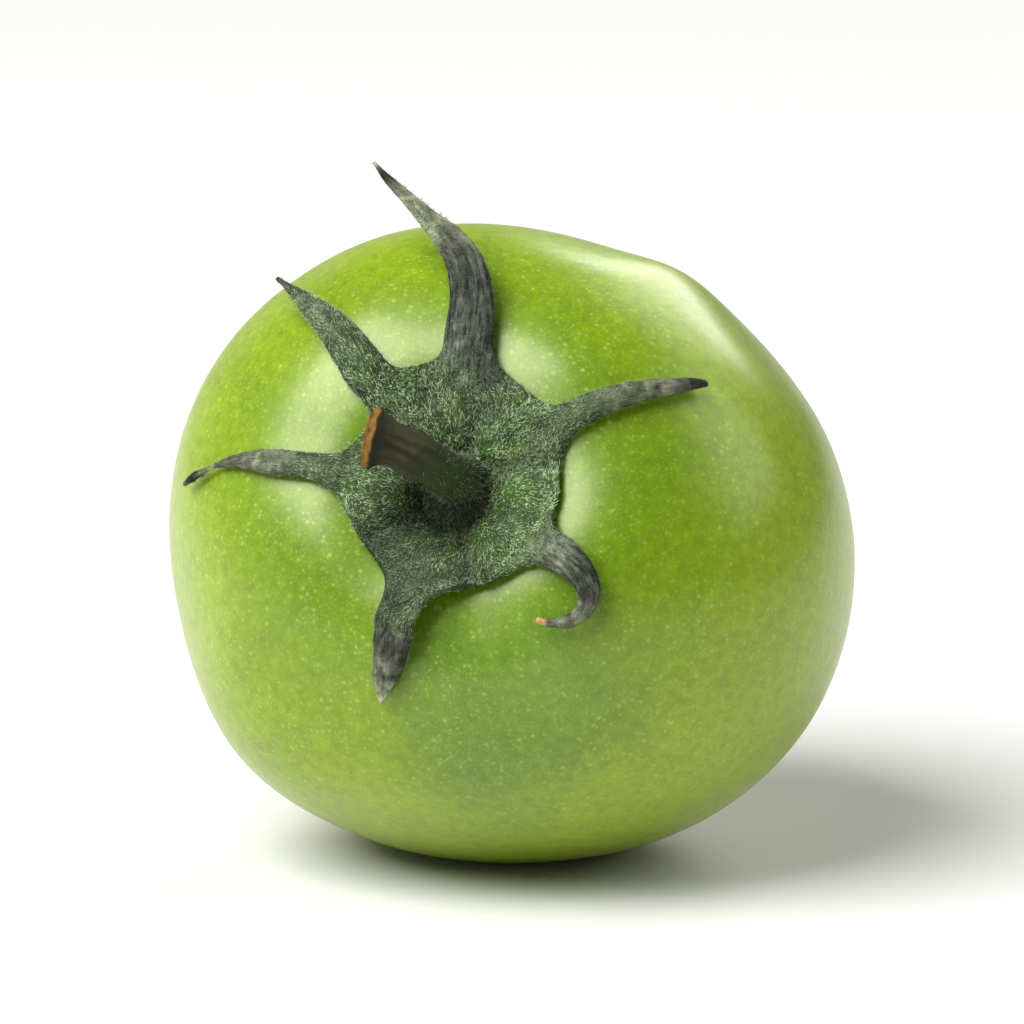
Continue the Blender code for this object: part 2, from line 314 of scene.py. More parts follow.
def linear(code):
    """Turns an sRGB hex colour into the linear one that Blender's sockets take."""
    shares = [int(code[i : i + 2], 16) / 255 for i in (1, 3, 5)]
    return tuple(s / 12.92 if s <= 0.04045 else ((s + 0.055) / 1.055) ** 2.4 for s in shares)


def colour(name, description, code):
    return bpy.props.FloatVectorProperty(
        name=name, description=description, default=linear(code), subtype="COLOR", size=3, min=0, max=1
    )


def number(name, description, count):
    return bpy.props.IntProperty(name=name, description=description, default=count, min=0)


def length(name, description, millimetres):
    return bpy.props.FloatProperty(
        name=name, description=description, default=millimetres * MM, min=0, unit="LENGTH", precision=5
    )


class TomatoFruitLook(bpy.types.PropertyGroup):
    """Sizes and colours of the fruit's skin."""

    shoulder: colour("Shoulder", "Deep green skin round the stem", "#628404")
    flank: colour("Flank", "Yellower skin outside the shoulder", "#889F0A")
    blossom: colour("Blossom end", "Palest skin, away from the stem", "#AAB624")
    streak: colour("Streak", "Darker green that runs down from the shoulder", "#46700A")
    patch: colour("Patch", "Bluish green of thicker skin", "#5C8630")
    speckle: colour("Speckle", "Tiny pale dots in the skin", "#B0C86A")
    streak_width: length("Streak width", "Between two darker streaks at the equator", 5)
    mottle_size: length("Mottle size", "Of the soft clouds in the skin's green", 5)
    speckle_spacing: length("Speckle spacing", "Between the pale dots that show", 0.3)
    unevenness: length("Unevenness", "Height of the soft dents in the skin", 0.05)


class TomatoCalyxLook(bpy.types.PropertyGroup):
    """Sizes and colours of the star-shaped calyx."""

    thickness: length("Thickness", "Of a blade at its midrib", 0.34)
    wrinkle: length("Wrinkle", "Height of the wrinkles in its withered parts", 0.05)
    leaf: colour("Leaf", "Fresh leaf between its hairs", "#2A4412")
    vein: colour("Vein", "Midrib and veins", "#4A5E30")
    withered: colour("Withered", "Darkest dried leaf", "#0F1412")
    dusty: colour("Dusty", "Greyer dried leaf", "#697060")
    pale_tip: colour("Pale tip", "Bleached end of a blade", "#99997E")
    orange_tip: colour("Orange tip", "Burnt end of a blade", "#C08A54")


class TomatoStemLook(bpy.types.PropertyGroup):
    """Colours of the stem's stub."""

    bark: colour("Bark", "Olive brown side of the stub", "#3E3A28")
    dark: colour("Dark bark", "Its darker streaks", "#222015")
    foot: colour("Foot", "Greener bark where it leaves the calyx", "#2E3E14")
    core: colour("Core", "Broken end", "#4C2F08")
    pith: colour("Pith", "Paler fibres of the broken end", "#785820")


class TomatoHairLook(bpy.types.PropertyGroup):
    """Sizes, numbers and colours of the fine hairs."""

    collar_count: number("Collar hairs", "On the middle of the calyx", 14500)
    sepal_count: number("Sepal hairs", "On its pointed blades", 5200)
    edge_count: number("Edge hairs", "Along the blades' edges", 1500)
    stem_count: number("Stem hairs", "On the stub's lower half", 900)
    thickness: length("Thickness", "Of a hair at its root", 0.03)
    root: colour("Root", "Hair where it leaves the leaf", "#566A34")
    end: colour("End", "Hair towards its point", "#C8DCB4")


class TomatoStageLook(bpy.types.PropertyGroup):
    """Floor, light and camera."""

    floor: colour("Floor", "Matt white table", "#DEDEDC")
    wall: colour("Wall", "Pale walls round the table", "#D0D0CE")
    ceiling: colour("Ceiling", "Dark ceiling above the lamps", "#606060")
    lens: bpy.props.FloatProperty(
        name="Lens",
        description="Focal length in millimetres",
        default=300,
        min=1,
        subtype="DISTANCE_CAMERA",
    )
    distance: length("Camera distance", "From the tomato to the camera", 400)


def feed(node, inputs):
    """Gives inputs of a node their values, or links them to a socket or to a node's first output in use.

    They come by name or number, or as a list in the node's own order: a MapRange has its value, the two
    ends that it comes between and the two that it leaves between. A Mix of colours has its share as input 0
    and the two as 6 and 7. A texture's Scale is one over the size of its features in metres.
    """
    for key, value in inputs.items() if isinstance(inputs, dict) else enumerate(inputs):
        socket = node.inputs[key]
        if isinstance(value, bpy.types.Node):
            value = next(output for output in value.outputs if output.enabled)
        if isinstance(value, bpy.types.NodeSocket):
            node.id_data.links.new(value, socket)
        elif socket.type == "RGBA":
            socket.default_value = (*value, 1)[:4]
        else:
            socket.default_value = value


def add(tree, kind, inputs=(), stops=(), **settings):
    """Adds a node with its settings, its ramp's stops and what feeds it."""
    made = tree.nodes.new("ShaderNode" + kind)
    for key, value in settings.items():
        setattr(made, key, value)
    if stops:
        while len(made.color_ramp.elements) < len(stops):
            made.color_ramp.elements.new(1)
        for element, (position, tone) in zip(made.color_ramp.elements, stops):
            element.position = position
            element.color = (*tone, 1)
    feed(made, inputs)
    return made


def new_material(name):
    """A material, its shader, and the function that adds a node to it."""
    made = bpy.data.materials.new(name)
    made.use_nodes = True
    return made, made.node_tree.nodes["Principled BSDF"], partial(add, made.node_tree)


def new_object(name, data):
    made = bpy.data.objects.new(name, data)
    bpy.context.scene.collection.objects.link(made)
    return made


def ease(value, start=0, width=1):
    """0 up to the start, and then smoothly to 1 over that width."""
    value = np.clip((value - start) / width, 0, 1)
    return value * value * (3 - 2 * value)


def bell(value, middle, spread):
    """1 at the middle, and less the further from it."""
    return np.exp(-(((value - middle) / spread) ** 2))


def once_round(count):
    """Even angles once round a ring."""
    return np.arange(count) * math.tau / count


def from_middle(azimuth, polar):
    """The way out of the fruit's middle at an azimuth and an angle from the stem, in degrees."""
    return Euler((0, math.radians(polar), math.radians(azimuth))).to_matrix().col[2]


def skin(polar, azimuth):
    """Points of the skin. polar is 0 at the stem end and pi at the blossom end."""
    waves = sum(
        share * np.cos(count * (azimuth - math.radians(start))) for count, share, start in SWELLINGS
    )
    stem_side = polar < math.pi / 2
    half_height = np.where(stem_side, SHOULDER_HEIGHT, BLOSSOM_HEIGHT)
    fullness = np.where(stem_side, SHOULDER_FULLNESS, BLOSSOM_FULLNESS)
    across = np.abs(np.sin(polar)) / (EQUATOR_RADIUS * (1 + waves))
    along = np.abs(np.cos(polar)) / half_height
    pleat = np.cos(PLEAT_COUNT * (azimuth - math.radians(PLEAT_DIRECTION)))
    pleat = PLEAT_HEIGHT * pleat * bell(np.degrees(polar), PLEAT_POLAR, PLEAT_SPREAD)
    distance = (across**fullness + along**fullness) ** (-1 / fullness) + pleat
    radius = distance * np.sin(polar)
    cavity = CAVITY_DEPTH * bell(radius, 0, CAVITY_RADIUS)
    scar = SCAR_DEPTH * bell(radius, 0, SCAR_RADIUS)
    height = distance * np.cos(polar) + np.where(stem_side, -cavity, scar)
    return np.stack([radius * np.cos(azimuth), radius * np.sin(azimuth), height], axis=-1)


def unit(vectors):
    return vectors / np.maximum(np.linalg.norm(vectors, axis=-1, keepdims=True), 1e-12)


def skin_normal(polar, azimuth):
    down = skin(polar + SLOPE_STEP, azimuth) - skin(polar - SLOPE_STEP, azimuth)
    round_axis = skin(polar, azimuth + SLOPE_STEP) - skin(polar, azimuth - SLOPE_STEP)
    return unit(np.cross(down, round_axis))


def over_skin(chart, height):
    """Points at a height over the skin. The chart is the stem end unrolled flat, seen from the stem."""
    polar = np.linalg.norm(chart, axis=-1) / CHART_RADIUS
    azimuth = np.arctan2(chart[..., 1], chart[..., 0])
    return skin(polar, azimuth) + height[..., None] * skin_normal(polar, azimuth)


def find_lean():
    """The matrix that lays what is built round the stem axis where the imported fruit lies."""
    turned = Euler((math.radians(90 - STEM_ELEVATION), 0, math.radians(-STEM_SWING))).to_matrix()
    polar, azimuth = np.meshgrid(np.linspace(0, math.pi, CAD_RINGS + 1), once_round(CAD_SEGMENTS))
    points = skin(polar, azimuth).reshape(-1, 3) @ np.array(turned).T
    lowest = points[points[:, 2].argmin()]
    place = Vector((-lowest[0], -lowest[1], -lowest[2] - FLAT_SPOT_DEPTH))
    gap = points.max(axis=0) + place - np.array(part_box("fruit")[1])
    if np.abs(gap).max() > FIT_TOLERANCE:
        raise RuntimeError(f"the fruit's formula is {gap / MM} mm off the packed fruit")
    return Matrix.Translation(place) @ turned.to_4x4()


LEAN = find_lean()


def leant(vectors):
    return vectors @ np.array(LEAN.to_3x3()).T


def laid(points):
    """Points built round the stem axis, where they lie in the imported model."""
    return leant(points) + np.array(LEAN.translation)


def ripple(points, size, seed):
    """Smooth noise from about -1 to 1 at each point, with features of that size."""
    flat = points.reshape(-1, 3) / size + seed
    return np.array([noise.noise(Vector(p)) for p in flat]).reshape(points.shape[:-1])


def rough(points, layers):
    """Noise summed from layers, each with its height, the size of its features and its seed."""
    return sum(height * ripple(points, size, seed) for height, size, seed in layers)


def new_piece(name, points, faces, material, replaced=None):
    """Makes a mesh from points that are already laid down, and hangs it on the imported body."""
    mesh = bpy.data.meshes.new(name)
    mesh.from_pydata(points.tolist(), [], faces)
    mesh.validate()
    mesh.shade_smooth()
    mesh.materials.append(material)
    piece = new_object(name, mesh)
    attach(piece, BODY)
    if replaced:
        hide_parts(replaced)
    return piece


def store(piece, name, values):
    """Keeps a number or a vector for each vertex, for the material and the hairs to read."""
    kind, key = ("FLOAT_VECTOR", "vector") if values.ndim == 2 else ("FLOAT", "value")
    layer = piece.data.attributes.new(name, kind, "POINT")
    layer.data.foreach_set(key, values.astype(np.float32).ravel())


def pull(things, key, width=1, kind=np.float32):
    """An array with one value of each thing, or one row of values."""
    values = np.empty(len(things) * width, kind)
    things.foreach_get(key, values)
    return values.reshape(-1, width) if width > 1 else values


def read(mesh, name):
    """What was stored for each vertex under that name."""
    layer = mesh.attributes[name]
    return pull(layer.data, "vector", 3) if layer.data_type == "FLOAT_VECTOR" else pull(layer.data, "value")


def grid_faces(index, closed=False):
    """Quads between the rows and columns of an array of vertex numbers."""
    if closed:
        index = np.concatenate([index, index[:, :1]], axis=1)
    quads = np.stack([index[:-1, :-1], index[:-1, 1:], index[1:, 1:], index[1:, :-1]], axis=-1)
    return quads.reshape(-1, 4).tolist()


def fan(centre, ring, flip=False):
    """Triangles from one vertex to a ring of them."""
    pairs = zip(ring.tolist(), np.roll(ring, -1).tolist())
    return [(centre, b, a) if flip else (centre, a, b) for a, b in pairs]


def skin_material(look):
    """Tomato skin: a thin clear cuticle of wax over green flesh, grown and not polished.

    The wax gives a soft sheen with a sharper coat over it, the flesh lets light in a little way, and the
    green runs in streaks from the stem with tiny pale dots.
    """
    made, shader, node = new_material("waxy_tomato_skin")
    upright = LEAN.inverted()
    upright = {"Location": upright.translation, "Rotation": upright.to_euler()}
    place = node("Mapping", {"Vector": node("TexCoord").outputs["Object"], **upright})
    toward = node("VectorMath", [place], operation="NORMALIZE")
    along = node("SeparateXYZ", [toward]).outputs["Z"]
    clouds = node("TexNoise", {"Vector": place, "Scale": 1 / look.mottle_size, "Detail": 4})
    # The cosine of the angle from the stem end, 1 there and -1 at the blossom end, with a ragged border
    ragged = node("Math", [clouds, 0.22, along], operation="MULTIPLY_ADD")
    height = node("MapRange", [ragged, -0.89, 1.11])
    greens = (0.1, look.blossom), (0.5, look.flank), (0.73, look.flank), (0.92, look.shoulder)
    green = node("ValToRGB", [height], greens)
    # A streak follows a meridian: it is read from the direction round the axis, and hardly from the height
    level = node("VectorMath", [place, (1, 1, 0)], operation="MULTIPLY")
    round_axis = node("VectorMath", [level], operation="NORMALIZE")
    meridian = node("VectorMath", [place, STREAK_WANDER, round_axis], operation="MULTIPLY_ADD")
    scale = EQUATOR_RADIUS / look.streak_width
    streaks = node("TexNoise", {"Vector": meridian, "Scale": scale, "Detail": 3})
    streak = node("MapRange", [streaks, 0.45, 0.75, 0, 0.45])
    streak = node("Math", [streak, node("MapRange", [height, 0.6, 0.9])], operation="MULTIPLY")
    nearness = node("VectorMath", [toward, from_middle(*PATCH)], operation="DOT_PRODUCT")
    nearness = node("Math", [clouds, 0.16, nearness], operation="MULTIPLY_ADD")
    patch = node("MapRange", [nearness, 0.96, 1.09, 0, 0.6], interpolation_type="SMOOTHSTEP")
    # The real dots are too fine to show, so these are drawn as coarse as they need to be
    dots = node("TexVoronoi", {"Vector": place, "Scale": 1 / look.speckle_spacing})
    chance = node("SeparateColor", [dots.outputs["Color"]]).outputs
    reach = node("MapRange", [chance[1], 0, 1, 0.22, 0.58])
    dot = node("MapRange", [dots, reach, 0], interpolation_type="SMOOTHSTEP")
    # Some places have many dots and some have hardly any
    crowd = node("TexNoise", {"Vector": place, "Scale": 1 / CROWD_SIZE, "Detail": 1})
    crowd = node("Math", [height, 0.35, crowd], operation="MULTIPLY_ADD")
    kept = node("Math", [chance[0], crowd], operation="ADD")
    strength = node("MapRange", [kept, 0.7, 1.85, 0, 0.5])
    # Between the dots lies a haze of finer ones
    fine_dots = node("TexVoronoi", {"Vector": place, "Scale": 1 / (FINE_DOTS * look.speckle_spacing)})
    haze = node("MapRange", [fine_dots, 0.5, 0, 0, 0.24], interpolation_type="SMOOTHSTEP")
    haze = node("Math", [haze, crowd], operation="MULTIPLY")
    speckle = node("Math", [dot, strength, haze], operation="MULTIPLY_ADD")
    for share, tone in ((streak, look.streak), (patch, look.patch), (speckle, look.speckle)):
        green = node("Mix", {0: share, 6: green, 7: tone}, data_type="RGBA")
    grain = node("TexNoise", {"Vector": place, "Scale": 1 / SKIN_GRAIN, "Detail": 3})
    cells = node("MapRange", [grain, 0.3, 0.7, 0.86, 1.14])
    feed(shader, {
        "Base Color": node("VectorMath", {0: green, "Scale": cells}, operation="SCALE"),
        "Normal": node("Bump", {"Strength": 0.5, "Distance": 0.014 * MM, "Height": grain}),
        "Roughness": 0.35,
        "IOR": 1.53,
        "Specular Tint": (1, 1, 0.6),
        "Subsurface Weight": 0.25,
        "Subsurface Radius": (1, 1, 0.35),
        "Subsurface Scale": 1.6 * MM,
        "Coat Weight": 0.35,
        "Coat Roughness": 0.25,
        "Coat IOR": 1.5,
    })
    return made


def leaf_material(look):
    """Sepal: a grown leaf, matt and soft under its hairs, dark and papery where it has withered."""
    made, shader, node = new_material("hairy_sepal_leaf")
    dry, tip, burnt, light = (
        node("Attribute", attribute_name=name).outputs["Fac"] for name in ("dry", "tip", "burnt", "light")
    )
    blade = node("Attribute", attribute_name="blade").outputs["Vector"]
    place = node("TexCoord").outputs["Object"]
    grain = node("TexNoise", {"Vector": place, "Scale": 1 / LEAF_GRAIN, "Detail": 4})
    fibres = node("TexNoise", {"Vector": blade, "Scale": FIBRE_SCALE, "Detail": 3})
    middle = node("Math", [node("SeparateXYZ", [blade])], operation="ABSOLUTE")
    midrib = node("MapRange", [middle, 0.22, 0.03, 0, 0.5])
    dust = node("MapRange", [fibres, 0.36, 0.74])
    fresh, dried, ends = (
        node("Mix", {0: share, 6: first, 7: second}, data_type="RGBA")
        for share, first, second in (
            (midrib, look.leaf, look.vein),
            (dust, look.withered, look.dusty),
            (burnt, look.pale_tip, look.orange_tip),
        )
    )
    aged = node("Mix", {0: dry, 6: fresh, 7: dried}, data_type="RGBA")
    tipped = node("Mix", {0: tip, 6: aged, 7: ends}, data_type="RGBA")
    # The leaf's own grain of tone, times the painted light and shade held in light
    shade = node("MapRange", [grain, 0.3, 0.7, 0.6, 1.25])
    shade = node("Math", [shade, light], operation="MULTIPLY")
    both = node("Math", [grain, fibres], operation="ADD")
    feed(shader, {
        "Base Color": node("VectorMath", {0: tipped, "Scale": shade}, operation="SCALE"),
        "Normal": node("Bump", {"Strength": 0.6, "Distance": 0.05 * MM, "Height": both}),
        "Roughness": 0.65,
        "IOR": 1.4,
        "Specular IOR Level": 0.3,
    })
    return made


def bark_material(look):
    """Stalk: green bark gone brown and dull, with a torn orange-brown end where it broke at its joint."""
    made, shader, node = new_material("browned_stalk")
    along, core = (node("Attribute", attribute_name=name).outputs["Fac"] for name in ("along", "core"))
    fibre = node("Attribute", attribute_name="fibre").outputs["Vector"]
    place = node("TexCoord").outputs["Object"]
    streaks = node("TexNoise", {"Vector": fibre, "Scale": STEM_RADIUS / BARK_STREAK, "Detail": 4})
    grain = node("TexNoise", {"Vector": place, "Scale": 1 / BARK_GRAIN, "Detail": 3})
    streak = node("MapRange", [streaks, 0.35, 0.65])
    greener = node("MapRange", [along, 0.8, 0.42, 0, 0.85])
    rim = node("MapRange", [along, 0.88, 0.94, 0, 0.8])
    side = look.dark
    for share, tone in ((streak, look.bark), (greener, look.foot), (rim, look.dark)):
        side = node("Mix", {0: share, 6: side, 7: tone}, data_type="RGBA")
    # The broken end has rings: a dark soft middle, a pale woody ring, then darker and paler fibres
    level = node("VectorMath", [fibre, (0.72, 0.72, 0)], operation="MULTIPLY")
    radial = node("VectorMath", [level], operation="LENGTH")
    ringed = node("Math", [grain, 0.5, radial], operation="MULTIPLY_ADD")
    rings = (0.25, look.dark), (0.42, look.core), (0.62, look.pith), (0.78, look.core), (0.96, look.pith)
    torn = node("ValToRGB", [ringed], rings)
    both = node("Math", [grain, streaks], operation="ADD")
    feed(shader, {
        "Base Color": node("Mix", {0: core, 6: side, 7: torn}, data_type="RGBA"),
        "Normal": node("Bump", {"Strength": 0.6, "Distance": 0.08 * MM, "Height": both}),
        "Roughness": 0.7,
        "IOR": 1.45,
        "Specular IOR Level": 0.22,
    })
    return made


def hair_material(look):
    """Plant hair: a clear pointed cell that scatters light, so it looks silvery and pales to its end."""
    made, shader, node = new_material("silvery_plant_hair")
    reach, shade = (node("Attribute", attribute_name=name).outputs["Fac"] for name in ("reach", "shade"))
    tone = node("ValToRGB", [reach], ((0, look.root), (0.7, look.end)))
    # shade is each hair's own tone times its painted light and shade
    lit = node("VectorMath", {0: tone, "Scale": shade}, operation="SCALE")
    feed(shader, {"Base Color": lit, "Roughness": 0.45, "IOR": 1.5})
    return made


def scar_material(look):
    """Scar tissue: dry cork that closed the wound left by the flower, dull and cracked."""
    made, shader, node = new_material("corky_scar")
    place = node("TexCoord").outputs["Object"]
    cracks = node("TexVoronoi", {"Vector": place, "Scale": 1 / CRACK_SPACING}, feature="DISTANCE_TO_EDGE")
    crust = node("TexNoise", {"Vector": place, "Scale": 1 / CRUST_GRAIN, "Detail": 4})
    browns = (0.3, look.dark), (0.55, look.core), (0.75, look.pith)
    feed(shader, {
        "Base Color": node("ValToRGB", [crust], browns),
        "Normal": node("Bump", {"Strength": 0.7, "Distance": 0.04 * MM, "Height": cracks}),
        "Roughness": 0.8,
        "IOR": 1.45,
    })
    return made


def knobs(points):
    """How far this fruit's own swells and flat places stand out of its even form."""
    total = np.zeros(len(points))
    for azimuth, polar, height, spread in KNOBS:
        apart = np.degrees(np.arccos(np.clip(unit(points) @ np.array(from_middle(azimuth, polar)), -1, 1)))
        total += height * MM * bell(apart, 0, spread)
    return total


class TOMATO_OT_fruit(bpy.types.Operator):
    """Add the fruit with its uneven waxy skin, pressed flat where it rests"""

    bl_idname = "tomato.fruit"
    bl_label = "Fruit"

    def execute(self, context):
        look = context.scene.tomato_fruit
        polar = np.linspace(0, math.pi, FRUIT_RINGS + 1)[1:-1]
        polar, azimuth = np.meshgrid(polar, once_round(FRUIT_SEGMENTS), indexing="ij")
        points = np.concatenate([skin(np.array([0, math.pi]), 0), skin(polar, azimuth).reshape(-1, 3)])
        normals = np.concatenate([[(0, 0, 1), (0, 0, -1)], skin_normal(polar, azimuth).reshape(-1, 3)])
        away_from_calyx = ease(np.linalg.norm(points[:, :2], axis=1) / MM, 4, 6)
        free = np.where(points[:, 2] > 0, away_from_calyx, 1)
        height = look.unevenness * rough(points, DENTS) * free + knobs(points)
        points = laid(points + normals * height[:, None])
        points[:, 2] = np.maximum(points[:, 2], 0)
        index = np.arange(2, len(points)).reshape(FRUIT_RINGS - 1, FRUIT_SEGMENTS)
        faces = [face[::-1] for face in grid_faces(index, closed=True)]
        faces += fan(0, index[0]) + fan(1, index[-1], flip=True)
        new_piece("fruit_skin", points, faces, skin_material(look), "fruit")
        return {"FINISHED"}


class TOMATO_OT_scar(bpy.types.Operator):
    """Add the corky scar and dried flower stub at the blossom end"""

    bl_idname = "tomato.scar"
    bl_label = "Blossom scar"

    def execute(self, context):
        share = np.linspace(0, 1, CORK_RINGS + 1)[1:]
        share, azimuth = np.meshgrid(share, once_round(CORK_SIDES), indexing="ij")
        rag = 1 + sum(height * np.cos(count * azimuth + start) for count, height, start in CORK_EDGE)
        polar = math.pi - share * rag * CORK_RADIUS / BLOSSOM_HEIGHT
        base = skin(polar, azimuth)
        height = STUB_HEIGHT * bell(share, 0, 0.22) + CRUST_HEIGHT * (1 - share**4) - CORK_SINK * share**8
        height += rough(base, CORK_LUMPS) * (1 - share**3)
        points = base + height[..., None] * skin_normal(polar, azimuth)
        top = skin(np.array([math.pi]), 0) - np.array([0, 0, STUB_HEIGHT + CRUST_HEIGHT])
        points = laid(np.concatenate([top, points.reshape(-1, 3)]))
        index = np.arange(1, len(points)).reshape(CORK_RINGS, CORK_SIDES)
        faces = grid_faces(index, closed=True) + fan(0, index[0], flip=True)
        new_piece("blossom_scar", points, faces, scar_material(context.scene.tomato_stem))
        return {"FINISHED"}


def polar_points(radius, degrees):
    angle = np.radians(degrees)
    return np.stack([radius * np.cos(angle), radius * np.sin(angle)], axis=-1)


def refine(values, steps):
    """Passes a smooth curve through the rows of an array, with that many steps between two of them."""
    values = np.asarray(values, float).reshape(len(values), -1)
    padded = np.concatenate([2 * values[:1] - values[1:2], values, 2 * values[-1:] - values[-2:-1]])
    t = (np.arange(steps) / steps)[None, :, None]
    a, b, c, d = (padded[i : len(padded) - 3 + i, None, :] for i in range(4))
    square, cube = 2 * a - 5 * b + 4 * c - d, 3 * b - a - 3 * c + d
    curve = 0.5 * (2 * b + (c - a) * t + square * t**2 + cube * t**3)
    return np.concatenate([curve.reshape(-1, values.shape[1]), values[-1:]])


def midrib(sepal):
    """Fine chart points and headings down the middle of a lobe."""
    reaches = COLLAR_RADIUS, NOTCH_REACH, sepal.neck * MM, sepal.length * MM
    distances = np.interp(range(TIP_ROW + 1), (0, NOTCH_ROW, NECK_ROW, TIP_ROW), reaches)
    share = distances / (sepal.length * MM)
    swing = ease(share, sepal.turn_start, sepal.turn_end - sepal.turn_start)
    headings = sepal.heading + sepal.turn * swing
    steps = np.concatenate([[(0, 0)], polar_points(np.diff(distances), headings[1:])])
    points = polar_points(COLLAR_RADIUS, sepal.heading) + steps.cumsum(axis=0)
    return refine(points, FINE_STEPS), refine(headings, FINE_STEPS)[:, 0]


def blade_edge(sepal, centre, headings, notch, side):
    """Fine chart points down one edge of a lobe. side is 1 for its left edge."""
    notch_row, neck_row = NOTCH_ROW * FINE_STEPS, NECK_ROW * FINE_STEPS
    outward = unit(notch)
    share = (np.arange(notch_row) / notch_row)[:, None]
    spoke = outward * COLLAR_RADIUS * (1 - share) + notch * share
    rows = np.arange(neck_row, len(centre)) / FINE_STEPS
    left = 1 - (rows - NECK_ROW) / (TIP_ROW - NECK_ROW)
    width = STRAP_END_WIDTH + (sepal.width * MM - STRAP_END_WIDTH) * left**sepal.taper
    width = width * shape_along(sepal.slim, rows, 1)
    point = np.sqrt(np.clip((TIP_ROW - rows) / POINT_ROWS, 0, 1))
    half = (POINT_WIDTH + (width - POINT_WIDTH) * point) / 2
    strap = centre[neck_row:] + polar_points(half, headings[neck_row:] + 90 * side)
    reach = SINUS_ROUNDNESS * np.linalg.norm(strap[0] - notch)
    along_notch = np.array([outward[1], -outward[0]]) * side * reach
    along_blade = polar_points(reach, headings[neck_row])
    corners = notch, notch + along_notch, strap[0] - along_blade, strap[0]
    bay = interpolate_bezier(*(Vector((*corner, 0)) for corner in corners), neck_row - notch_row + 1)
    return np.concatenate([spoke, np.array(bay)[:-1, :2], strap])


def shape_along(values, rows, first=0):
    """A lobe's curl, twist, rise, width or dryness at fine rows, from its values at SHAPE_ROWS."""
    known = np.interp(np.arange(TIP_ROW + 1), (0, *SHAPE_ROWS), (first, *values))
    fine_rows = np.arange(TIP_ROW * FINE_STEPS + 1) / FINE_STEPS
    return np.interp(rows, fine_rows, refine(known, FINE_STEPS)[:, 0])


def round_stem(chart):
    """How far each chart point is from the stem's axis, in mm, and its direction in degrees."""
    return np.linalg.norm(chart, axis=-1) / MM, np.degrees(np.arctan2(chart[..., 1], chart[..., 0]))


def collar_folds(chart):
    """Height in mm of the folds that run out from the stem over the middle of the calyx."""
    azimuth = round_stem(chart)[1]
    folds = ((height, (azimuth - way + 180) % 360 - 180, spread) for way, height, spread in COLLAR_FOLDS)
    return sum(height * bell(apart, 0, spread) for height, apart, spread in folds)


def blade_light(sepal, rows, across, curl, chart, base, seed):
    """Shares of painted light and shade that leaf and hairs keep, and of faded leaf. The painted shade is
    darkest in the folds and the middle.
    """
    radius, azimuth = round_stem(chart)
    # Painted light on the folds' ridges and the lit side, painted shade in their valleys, round the stem's
    # foot and on the shaded side. silvery holds the painted light towards the lit side, and shaded the
    # painted shade
    shaded, silvery = (0.5 + 0.5 * np.cos(np.radians(azimuth - way)) for way in (SHADED_SIDE, LIT_SIDE))
    light = 1 + FOLD_LIGHT * np.clip(collar_folds(chart), -0.35, 0.2) * ease(radius, 1.4, 1.2)
    border, width = (least + more * shaded for least, more in (FOOT_SHADE, FOOT_SHADE_WIDTH))
    reach = (radius - border + 0.6 * ripple(base, 0.8 * MM, seed + 2)) / width
    light = light * (FOOT_LIGHT + (1 - FOOT_LIGHT) * ease(reach))
    light = light * (1 + LIT_SIDE_GAIN * silvery**3 * ease(radius, 2.2)) * (1 - SHADED_LOSS * shaded**4)
    light = np.where(rows < NECK_ROW, light, 1 + (light - 1) * np.exp(-(rows - NECK_ROW) / 1.5))
    groove, ridge = np.clip(-curl, 0, 1), np.clip(curl, 0, 1)
    # Painted shade in a grooved blade's middle and along a domed blade's edges
    light = light * (1 - GROOVE_LOSS * groove * bell(across, -0.15, 0.3) + 0.15 * groove * across**4)
    light = light * (1 - RIDGE_LOSS * ridge * across**4)
    faded = np.clip(shape_along(sepal.faded, rows) * (1 + 1.3 * ripple(base, 0.35 * MM, seed + 7)), 0, 1)
    return light * (1 + FADED_GAIN * faded), faded


def with_throat(values, throat=0):
    """Puts the throat's rows, with one value, before the rows of a blade."""
    return np.concatenate([np.full((THROAT_ROWS, values.shape[1]), throat, float), values])


